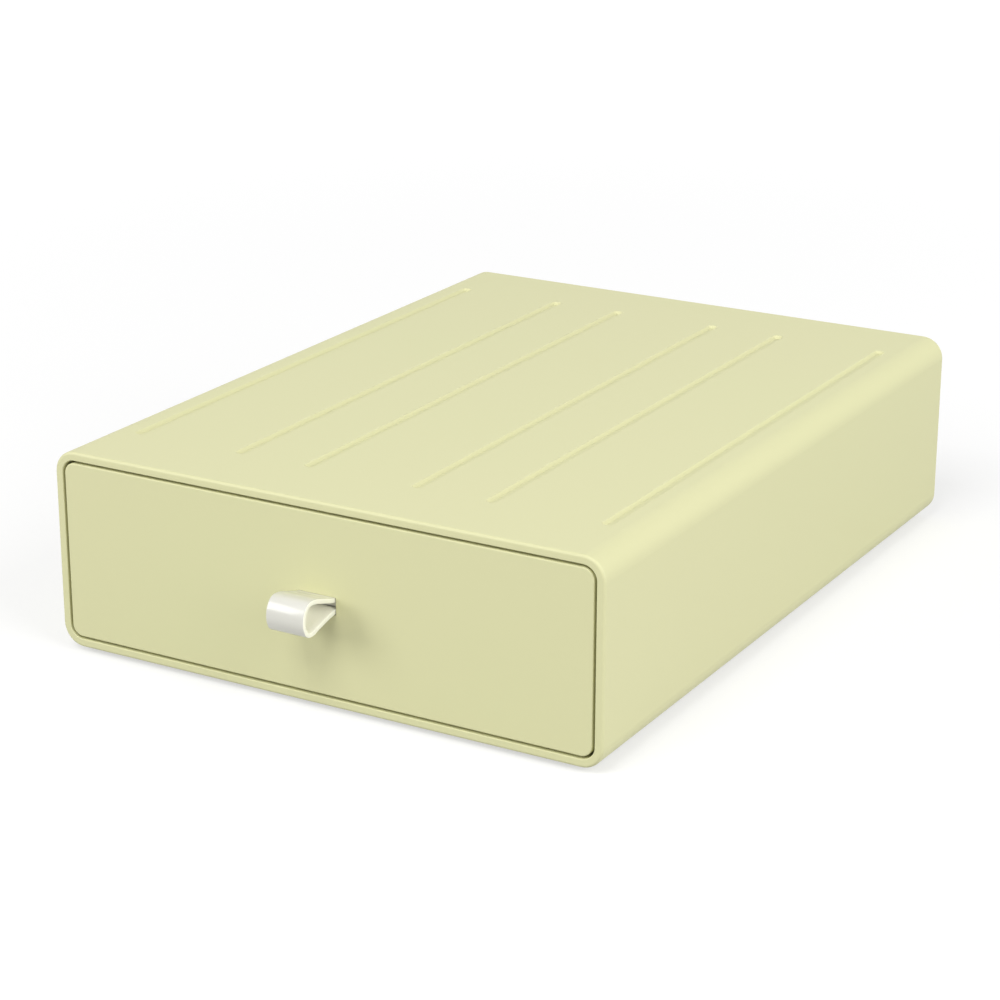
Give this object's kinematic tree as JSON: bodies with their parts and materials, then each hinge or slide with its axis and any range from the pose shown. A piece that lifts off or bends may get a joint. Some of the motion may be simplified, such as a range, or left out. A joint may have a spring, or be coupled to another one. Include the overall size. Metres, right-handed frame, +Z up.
{
  "type": "drawer storage box",
  "caption": "Stackable desktop drawer box: a rounded sleeve casing with grooved roof holds a full-width drawer that slides out by a strap loop on its front.",
  "frame": {"origin": "on the table under the middle of the whole box, strap loop included", "axes": "+Z up, -Y out of the drawer's front, +X to the right as seen from the front"},
  "size_m": [0.25, 0.3516, 0.0862],
  "materials": {
    "pale_yellow_plastic": "fine matte moulded texture",
    "clip_plastic": "smooth moulded, off-white",
    "white_strap": "white coated leather-look strap, satin",
    "soft_strip": "soft matte rubber, off-white",
    "screw_steel": "zinc plated"
  },
  "bodies": {
    "casing": {"casing_sleeve": "pale_yellow_plastic", "back_panel": "pale_yellow_plastic", "strip_left_outer": "soft_strip", "strip_left_middle": "soft_strip", "strip_left_inner": "soft_strip", "strip_right_inner": "soft_strip", "strip_right_middle": "soft_strip", "strip_right_outer": "soft_strip"},
    "drawer": {"drawer_front": "pale_yellow_plastic", "drawer_tray": "pale_yellow_plastic", "stop_clip_left": "clip_plastic", "stop_clip_right": "clip_plastic", "strap_end_upper": "white_strap", "strap_end_lower": "white_strap", "strap_clamp": "clip_plastic", "clamp_screws": "screw_steel", "front_screws": "screw_steel"},
    "pull": {"pull_strap": "white_strap"}
  },
  "joints": [
    {"name": "drawer_slide", "type": "slide", "parent": "casing", "child": "drawer", "axis": [0, -1, 0], "range_m": [0, 0.25]},
    {"name": "strap_swing", "type": "hinge", "parent": "drawer", "child": "pull", "pos_m": [0, -0.1542, 0.0448], "axis": [1, 0, 0], "range_deg": [-12, 12], "stiffness_Nm_per_rad": 0.02}
  ]
}
